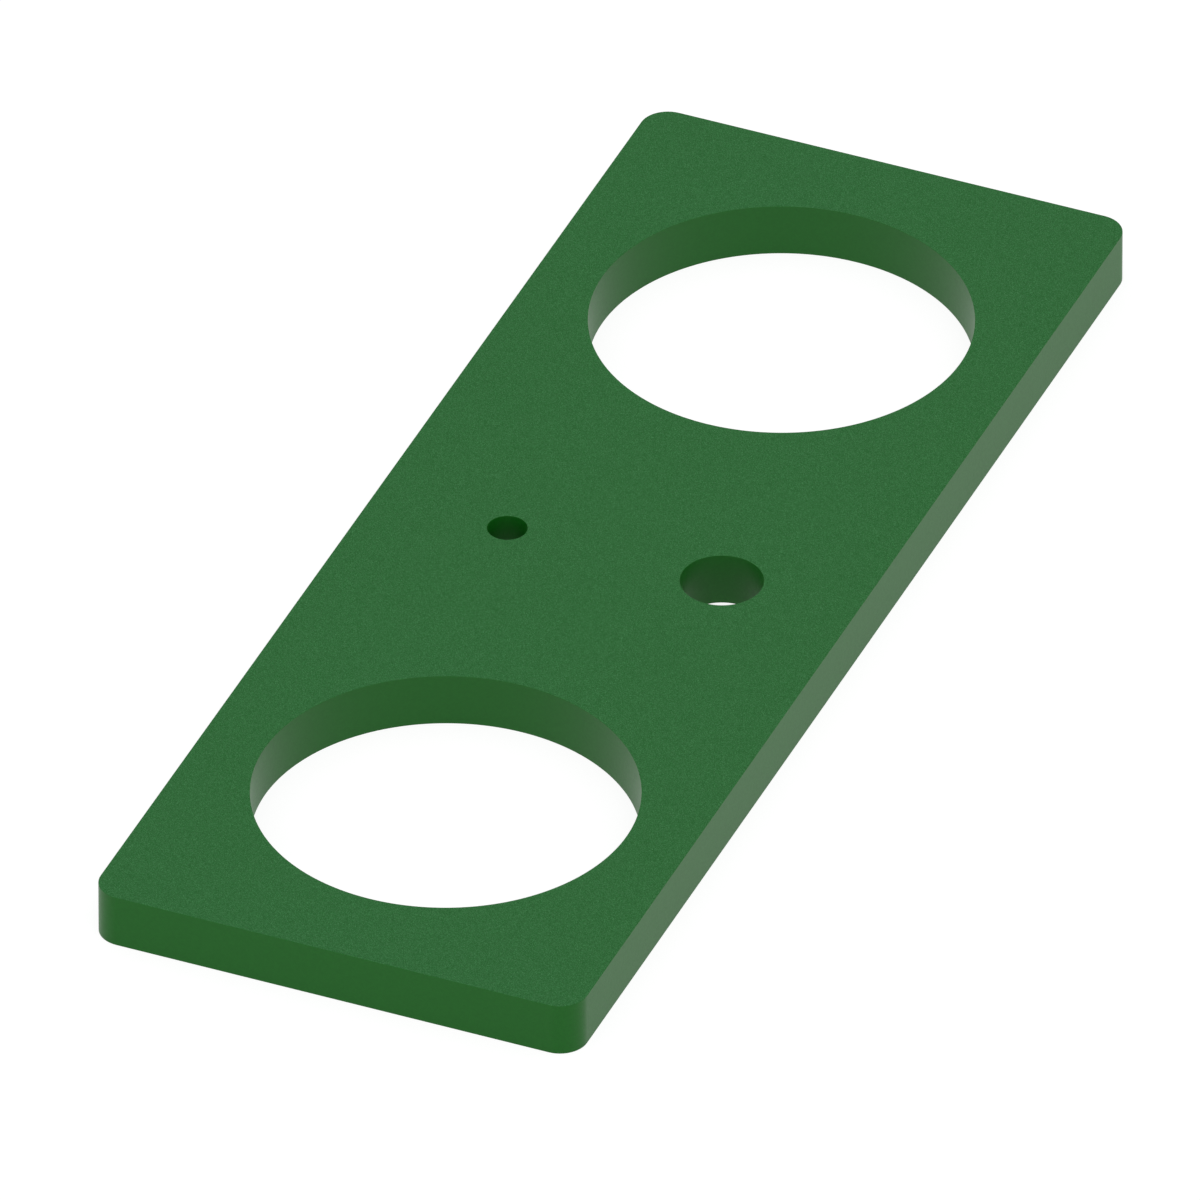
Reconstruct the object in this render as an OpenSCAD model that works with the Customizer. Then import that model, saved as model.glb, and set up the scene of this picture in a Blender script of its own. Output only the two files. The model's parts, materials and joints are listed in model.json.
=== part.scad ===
// Spacer plate: one length of flat bar with rounded corners and four holes drilled straight through.
// The long side runs along Y and the width along X. The plate lies on Z = 0,
// and the origin is in the middle of its underside.

/* [Plate] */
// Length of the plate, along Y
plate_length = 250; // [225:1:400]
// Width of the plate, along X
plate_width = 90; // [75:1:200]
// Thickness of the plate, along Z
plate_thickness = 10; // [3:0.5:30]
// Radius of the four upright corners
corner_radius = 5; // [1:0.5:20]

/* [Large holes] */
// Diameter of the two large holes
large_hole_diameter = 67; // [20:0.5:80]
// Distance between the centres of the two large holes, along Y
large_hole_pitch = 150; // [110:1:170]

/* [Bolt hole] */
// Diameter of the bolt hole, a coarse clearance hole for an M12 bolt
bolt_hole_diameter = 14.5; // [5:0.5:20]
// Distance from the middle of the plate to the bolt hole, towards +X
bolt_hole_offset = 20; // [12:0.5:30]

/* [Screw hole] */
// Diameter of the screw hole, a coarse clearance hole for an M6 screw
screw_hole_diameter = 7; // [3:0.5:12]
// Distance from the middle of the plate to the screw hole, towards -X
screw_hole_offset = 20; // [8:0.5:30]

/* [Hidden] */

// Sides that stand for a full circle
$fn = 128;

// Colour of the paint
paint_green = [0.20, 0.41, 0.23];

// Distance that each drill runs past both faces of the plate
drill_overrun = 1;

// A flat blank standing on Z = 0 around the origin, with its upright corners rounded
module rounded_blank(width, length, thickness, radius) {
    corner_x = width / 2 - radius;
    corner_y = length / 2 - radius;

    translate([-corner_x, -length / 2, 0])
        cube([2 * corner_x, length, thickness]);
    translate([-width / 2, -corner_y, 0])
        cube([width, 2 * corner_y, thickness]);
    for (x = [-corner_x, corner_x], y = [-corner_y, corner_y])
        translate([x, y, 0])
            cylinder(r = radius, h = thickness);
}

// The round bar of metal that a drill takes out of the plate at one place
module drilling(x, y, diameter) {
    translate([x, y, -drill_overrun])
        cylinder(d = diameter, h = plate_thickness + 2 * drill_overrun);
}

// The whole plate, a single piece painted all over
module spacer_plate() {
    color(paint_green)
        difference() {
            rounded_blank(plate_width, plate_length, plate_thickness, corner_radius);
            for (end = [-1, 1])
                drilling(0, end * large_hole_pitch / 2, large_hole_diameter);
            drilling(bolt_hole_offset, 0, bolt_hole_diameter);
            drilling(-screw_hole_offset, 0, screw_hole_diameter);
        }
}

spacer_plate();
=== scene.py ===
import json
import math

import bmesh
import bpy
from mathutils import Matrix, Vector


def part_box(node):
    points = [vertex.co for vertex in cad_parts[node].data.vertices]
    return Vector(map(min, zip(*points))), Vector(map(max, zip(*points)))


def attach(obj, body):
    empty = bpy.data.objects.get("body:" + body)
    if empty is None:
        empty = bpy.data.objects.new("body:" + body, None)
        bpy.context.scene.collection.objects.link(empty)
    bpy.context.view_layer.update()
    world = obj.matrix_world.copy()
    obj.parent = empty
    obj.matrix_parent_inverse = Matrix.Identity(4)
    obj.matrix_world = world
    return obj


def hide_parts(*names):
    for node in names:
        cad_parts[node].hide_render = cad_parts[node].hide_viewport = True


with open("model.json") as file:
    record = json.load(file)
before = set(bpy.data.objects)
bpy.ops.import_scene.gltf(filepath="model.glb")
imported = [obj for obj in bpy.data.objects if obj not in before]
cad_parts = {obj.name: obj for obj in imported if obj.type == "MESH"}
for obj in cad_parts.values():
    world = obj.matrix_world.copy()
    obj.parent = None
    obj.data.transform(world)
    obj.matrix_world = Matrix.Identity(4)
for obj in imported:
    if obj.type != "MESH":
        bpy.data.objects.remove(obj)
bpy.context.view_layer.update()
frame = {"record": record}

# The plate is a length of 90 x 10 mm mild steel flat bar, sawn off at 250 mm. Its upright corners are milled
# round, and the two large holes are bored and the two small ones drilled straight through it.
# It is sprayed all over with green enamel, and the film of paint takes the sharpness off every edge.
plate_low, plate_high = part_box("spacer_plate")
plate_width, plate_length, plate_thickness = plate_high - plate_low
corner_radius = 0.005
corner_steps = 12
hole_steps = 192
paint_edge_radius = 0.00008
paint_edge_steps = 3
level_normal_z = 0.999

# Each hole is the x and y of its middle, and its radius.
holes = [
    (*mount["pos_m"][:2], mount["dims"]["r_mm"] / 1000)
    for mount in frame["record"]["mounts"] if mount["kind"] == "bore"
]

# The kinds of surface, in the order of the plate's materials.
FACE, SIDE, BORE = range(3)


def draw_outlines(mesh):
    """Draws the plate's outline and the rims of its holes, as edges on its underside."""
    # The size is half a side, so this is a square of 1 m, which is then scaled to the plate.
    bmesh.ops.create_grid(mesh, x_segments=1, y_segments=1, size=0.5)
    bmesh.ops.scale(mesh, vec=(plate_width, plate_length, 1), verts=mesh.verts)
    bmesh.ops.bevel(
        mesh, geom=mesh.verts[:], offset=corner_radius, offset_type="OFFSET", segments=corner_steps,
        profile=0.5, affect="VERTICES", material=-1,
    )
    bmesh.ops.delete(mesh, geom=mesh.faces[:], context="FACES_ONLY")
    for x, y, radius in holes:
        bmesh.ops.create_circle(
            mesh, cap_ends=False, radius=radius, segments=hole_steps, matrix=Matrix.Translation((x, y, 0)),
        )
    bmesh.ops.translate(mesh, vec=(0, 0, plate_low.z), verts=mesh.verts)


def is_flat(face):
    """Whether a face lies on the top or the underside."""
    return abs(face.normal.z) > level_normal_z


def in_hole(face):
    """Whether a face is on the wall or the rounded rim of a hole."""
    centre = face.calc_center_median()
    # The rounding reaches one paint_edge_radius past the hole, and the second one is a margin.
    rim_width = 2 * paint_edge_radius
    return any(math.hypot(centre.x - x, centre.y - y) < radius + rim_width for x, y, radius in holes)


def surface_kind(face):
    """Which kind of surface a face is part of, as each kind takes the spray in its own way, and the flat
    faces also carry painted sheen in their colour.
    """
    if is_flat(face):
        return FACE
    return BORE if in_hole(face) else SIDE


def plate_mesh():
    """The plate's surface: the filled outline, raised by the thickness, with every edge rounded."""
    mesh = bmesh.new()
    draw_outlines(mesh)
    bmesh.ops.triangle_fill(mesh, use_beauty=True, edges=mesh.edges[:])
    raised = bmesh.ops.extrude_face_region(mesh, geom=mesh.faces[:] + mesh.edges[:], use_keep_orig=True)
    top_points = [part for part in raised["geom"] if isinstance(part, bmesh.types.BMVert)]
    bmesh.ops.translate(mesh, vec=(0, 0, plate_thickness), verts=top_points)
    bmesh.ops.recalc_face_normals(mesh, faces=mesh.faces)
    sharp_edges = [edge for edge in mesh.edges if edge.is_manifold and
                   is_flat(edge.link_faces[0]) != is_flat(edge.link_faces[1])]
    bmesh.ops.bevel(
        mesh, geom=sharp_edges, offset=paint_edge_radius, offset_type="OFFSET", segments=paint_edge_steps,
        profile=0.5, affect="EDGES", clamp_overlap=True, material=-1,
    )
    for face in mesh.faces:
        face.material_index = surface_kind(face)
        face.smooth = face.material_index != FACE
    data = bpy.data.meshes.new("painted_plate")
    mesh.to_mesh(data)
    mesh.free()
    return data


def link_nodes(tree, *pairs):
    """Joins each output socket to the input socket that is paired with it."""
    for source, target in pairs:
        tree.links.new(source, target)


def math_node(tree, operation, *values):
    """A Math node, whose inputs are sockets or plain numbers."""
    node = tree.nodes.new("ShaderNodeMath")
    node.operation = operation
    for socket, value in zip(node.inputs, values):
        if isinstance(value, bpy.types.NodeSocket):
            tree.links.new(value, socket)
        else:
            socket.default_value = value
    return node.outputs[0]


def colour_mix(tree, share, first, second):
    """A Mix node that goes from the first colour to the second as the share goes from 0 to 1."""
    node = tree.nodes.new("ShaderNodeMix")
    node.data_type = "RGBA"
    # The node has sockets of the same name for each type of data, so they are found by identifier.
    sockets = {socket.identifier: socket for socket in [*node.inputs, *node.outputs]}
    link_nodes(
        tree,
        (share, sockets["Factor_Float"]),
        (first, sockets["A_Color"]),
        (second, sockets["B_Color"]),
    )
    return sockets["Result_Color"]


def new_group(name, inputs, outputs):
    """An empty shader node group with these kinds of sockets, and the sockets of its two end nodes."""
    group = bpy.data.node_groups.new(name, "ShaderNodeTree")
    for label, kind in inputs.items():
        group.interface.new_socket(label, in_out="INPUT", socket_type="NodeSocket" + kind)
    for label, kind in outputs.items():
        group.interface.new_socket(label, in_out="OUTPUT", socket_type="NodeSocket" + kind)
    return group, group.nodes.new("NodeGroupInput").outputs, group.nodes.new("NodeGroupOutput").inputs


def sprayed_enamel_group():
    """Light flecks in a coat of sprayed enamel, each a fine grain of its own height and gloss."""
    group, given, made = new_group(
        "sprayed_enamel",
        {
            "Vector": "Vector", "Paint": "Color", "Fleck": "Color", "Fleck Size": "Float",
            "Fleck Sparseness": "Float", "Cloud Size": "Float", "Cloud Depth": "Float", "Roughness": "Float",
            "Roughness Spread": "Float", "Relief": "Float",
        },
        {"Color": "Color", "Roughness": "Float", "Height": "Float"},
    )
    grains = group.nodes.new("ShaderNodeTexVoronoi")
    split = group.nodes.new("ShaderNodeSeparateColor")
    clouds = group.nodes.new("ShaderNodeTexNoise")
    clouded = group.nodes.new("ShaderNodeVectorMath")
    clouded.operation = "SCALE"
    link_nodes(
        group,
        (given["Vector"], grains.inputs["Vector"]),
        (math_node(group, "DIVIDE", 1.0, given["Fleck Size"]), grains.inputs["Scale"]),
        (grains.outputs["Color"], split.inputs[0]),
        (given["Vector"], clouds.inputs["Vector"]),
        (math_node(group, "DIVIDE", 1.0, given["Cloud Size"]), clouds.inputs["Scale"]),
    )
    lightness = split.outputs[0]
    # The higher the power, the fewer grains are light enough to show as flecks.
    fleck_share = math_node(group, "POWER", lightness, given["Fleck Sparseness"])
    # The noise is 0.5 on average, so a cloud is as often a little darker as a little lighter.
    cloud = math_node(group, "SUBTRACT", clouds.outputs["Fac"], 0.5)
    roughness_change = math_node(group, "MULTIPLY", lightness, given["Roughness Spread"])
    # Each grain is a dome, highest at its middle.
    dome = math_node(group, "SUBTRACT", lightness, grains.outputs["Distance"])
    link_nodes(
        group,
        (colour_mix(group, fleck_share, given["Paint"], given["Fleck"]), clouded.inputs[0]),
        (math_node(group, "MULTIPLY_ADD", cloud, given["Cloud Depth"], 1.0), clouded.inputs["Scale"]),
        (clouded.outputs[0], made["Color"]),
        (math_node(group, "SUBTRACT", given["Roughness"], roughness_change), made["Roughness"]),
        (math_node(group, "MULTIPLY", dome, given["Relief"]), made["Height"]),
    )
    return group


enamel = sprayed_enamel_group()


def paint_material(name, gloss_level, **settings):
    """Green enamel on one kind of surface, with its own values for the flecks."""
    material = bpy.data.materials.new(name)
    material.use_nodes = True
    tree = material.node_tree
    shader = next(node for node in tree.nodes if node.type == "BSDF_PRINCIPLED")
    shader.inputs["Specular IOR Level"].default_value = gloss_level
    place = tree.nodes.new("ShaderNodeTexCoord")
    coat = tree.nodes.new("ShaderNodeGroup")
    coat.node_tree = enamel
    for label, value in settings.items():
        coat.inputs[label.replace("_", " ").title()].default_value = value
    bump = tree.nodes.new("ShaderNodeBump")
    # The coat's height is in metres already.
    bump.inputs["Distance"].default_value = 1.0
    link_nodes(
        tree,
        (place.outputs["Object"], coat.inputs["Vector"]),
        (coat.outputs["Color"], shader.inputs["Base Color"]),
        (coat.outputs["Roughness"], shader.inputs["Roughness"]),
        (coat.outputs["Height"], bump.inputs["Height"]),
        (bump.outputs["Normal"], shader.inputs["Normal"]),
    )
    return material


# Overspray has settled on the flat faces as a fine, dull grain of sparse light flecks. The flat faces' paint
# and flecks are also lighter and bluer than the sides' paint: this is painted sheen, standing in for the
# reflection of the bright room above.
face_paint_with_painted_sheen = paint_material(
    "face_paint_with_painted_sheen", gloss_level=0.103, paint=(0.004, 0.0885, 0.0101, 1), fleck=(0.05, 0.2185, 0.0696, 1),
    fleck_size=0.00008, fleck_sparseness=3, cloud_size=0.033, cloud_depth=0.01, roughness=0.45,
    roughness_spread=0.1, relief=0.000005,
)
# The upright sides and the bores have caught hardly any, so the paint there is smooth and glossier.
side_paint = paint_material(
    "side_paint", gloss_level=0.225, paint=(0.003, 0.1, 0.005, 1), fleck=(0.004, 0.11, 0.006, 1),
    fleck_size=0.0004, fleck_sparseness=1, cloud_size=0.033, cloud_depth=0.02, roughness=0.42,
    roughness_spread=0.02, relief=0.000002,
)
bore_paint = paint_material(
    "bore_paint", gloss_level=0.291, paint=(0.002, 0.1, 0.004, 1), fleck=(0.003, 0.11, 0.005, 1),
    fleck_size=0.0004, fleck_sparseness=1, cloud_size=0.033, cloud_depth=0.02, roughness=0.46,
    roughness_spread=0.02, relief=0.000002,
)

plate = bpy.data.objects.new("painted_plate", plate_mesh())
bpy.context.scene.collection.objects.link(plate)
for material in (face_paint_with_painted_sheen, side_paint, bore_paint):
    plate.data.materials.append(material)
# The normals follow the broad faces, so that only the narrow rounded edges between them are shaded off.
even_normals = plate.modifiers.new("even_normals", "WEIGHTED_NORMAL")
even_normals.weight = 100
even_normals.keep_sharp = True
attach(plate, "root")
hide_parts("spacer_plate")

# The floor is a matt, nearly white studio table that the plate lies on.
# The camera and the plate's gloss see it as white ground with the plate's faint shadow on it.
floor_size = 10.0
floor_drop = 0.00001
floor_tone = 0.8
shadow_depth = 0.2
ground_glow = 0.85


def seen_directly(tree):
    """1 for a ray from the camera, a reflection or a refraction, and 0 for the light on a surface."""
    path = tree.nodes.new("ShaderNodeLightPath").outputs
    seen = math_node(tree, "MAXIMUM", path["Is Camera Ray"], path["Is Glossy Ray"])
    return math_node(tree, "MAXIMUM", seen, path["Is Transmission Ray"])


def matt_shader(tree, tone):
    """A matt grey of this tone."""
    shader = tree.nodes.new("ShaderNodeBsdfDiffuse")
    shader.inputs["Color"].default_value = (tone, tone, tone, 1)
    return shader.outputs[0]


def floor_material():
    """Matt white ground, which glows only where it is seen, so that the light on the plate stays plain."""
    material = bpy.data.materials.new("studio_ground")
    material.use_nodes = True
    # The glow is only looked at, so it isn't sampled as a lamp.
    material.cycles.emission_sampling = "NONE"
    tree = material.node_tree
    tree.nodes.clear()
    output = tree.nodes.new("ShaderNodeOutputMaterial")
    glow = tree.nodes.new("ShaderNodeEmission")
    glow.inputs["Strength"].default_value = ground_glow
    ground = tree.nodes.new("ShaderNodeAddShader")
    either = tree.nodes.new("ShaderNodeMixShader")
    link_nodes(
        tree,
        (matt_shader(tree, shadow_depth), ground.inputs[0]),
        (glow.outputs[0], ground.inputs[1]),
        (seen_directly(tree), either.inputs[0]),
        (matt_shader(tree, floor_tone), either.inputs[1]),
        (ground.outputs[0], either.inputs[2]),
        (either.outputs[0], output.inputs["Surface"]),
    )
    return material


floor_mesh = bmesh.new()
bmesh.ops.create_grid(floor_mesh, x_segments=1, y_segments=1, size=floor_size / 2)
bmesh.ops.translate(floor_mesh, vec=(0, 0, plate_low.z - floor_drop), verts=floor_mesh.verts)
floor_data = bpy.data.meshes.new("floor")
floor_mesh.to_mesh(floor_data)
floor_mesh.free()
floor = bpy.data.objects.new("floor", floor_data)
bpy.context.scene.collection.objects.link(floor)
floor.data.materials.append(floor_material())

# The light is that of a white room with one very large, soft lamp above the camera's shoulder.
# What is seen past the floor is plain white.
room_light = 0.82
backdrop_light = 1.0
lamp_strength = 0.62
lamp_width = math.radians(40)
lamp_direction = Vector((0.04, -0.07, 0.18))


def white_background(tree, strength):
    """Even white light of this strength from all round."""
    background = tree.nodes.new("ShaderNodeBackground")
    background.inputs["Color"].default_value = (1, 1, 1, 1)
    background.inputs["Strength"].default_value = strength
    return background.outputs[0]


world = bpy.data.worlds.new("white_room")
bpy.context.scene.world = world
world.use_nodes = True
# Light that is the same all round needs no sampling of its own.
world.cycles.sampling_method = "NONE"
room = world.node_tree
room.nodes.clear()
room_output = room.nodes.new("ShaderNodeOutputWorld")
room_mix = room.nodes.new("ShaderNodeMixShader")
link_nodes(
    room,
    (seen_directly(room), room_mix.inputs[0]),
    (white_background(room, room_light), room_mix.inputs[1]),
    (white_background(room, backdrop_light), room_mix.inputs[2]),
    (room_mix.outputs[0], room_output.inputs["Surface"]),
)

lamp_data = bpy.data.lights.new("soft_lamp", "SUN")
lamp_data.energy = lamp_strength
lamp_data.angle = lamp_width
lamp = bpy.data.objects.new("soft_lamp", lamp_data)
lamp.rotation_euler = lamp_direction.to_track_quat("Z", "Y").to_euler()
bpy.context.scene.collection.objects.link(lamp)

# The camera looks down on the plate from 36 degrees, turned 22.66 degrees round from its short side.
# Its very long lens shows the plate almost without perspective.
camera_turn = math.radians(22.66)
camera_rise = math.radians(36)
camera_distance = 9.75
camera_lens = 1700
camera_film_width = 36
aim_right_of_middle = -0.0025
aim_above_middle = -0.0079

back = Vector((
    math.sin(camera_turn) * math.cos(camera_rise),
    -math.cos(camera_turn) * math.cos(camera_rise),
    math.sin(camera_rise),
))
right = Vector((math.cos(camera_turn), math.sin(camera_turn), 0))
middle_of_top = Vector((0, 0, plate_high.z))
aim = middle_of_top + right * aim_right_of_middle + back.cross(right) * aim_above_middle

camera_data = bpy.data.cameras.new("camera")
camera_data.lens = camera_lens
camera_data.sensor_width = camera_film_width
camera_data.clip_end = 2 * camera_distance
camera = bpy.data.objects.new("camera", camera_data)
camera.location = aim + back * camera_distance
camera.rotation_euler = (-back).to_track_quat("-Z", "Y").to_euler()
bpy.context.scene.collection.objects.link(camera)
bpy.context.scene.camera = camera
bpy.context.scene.view_settings.view_transform = "Standard"
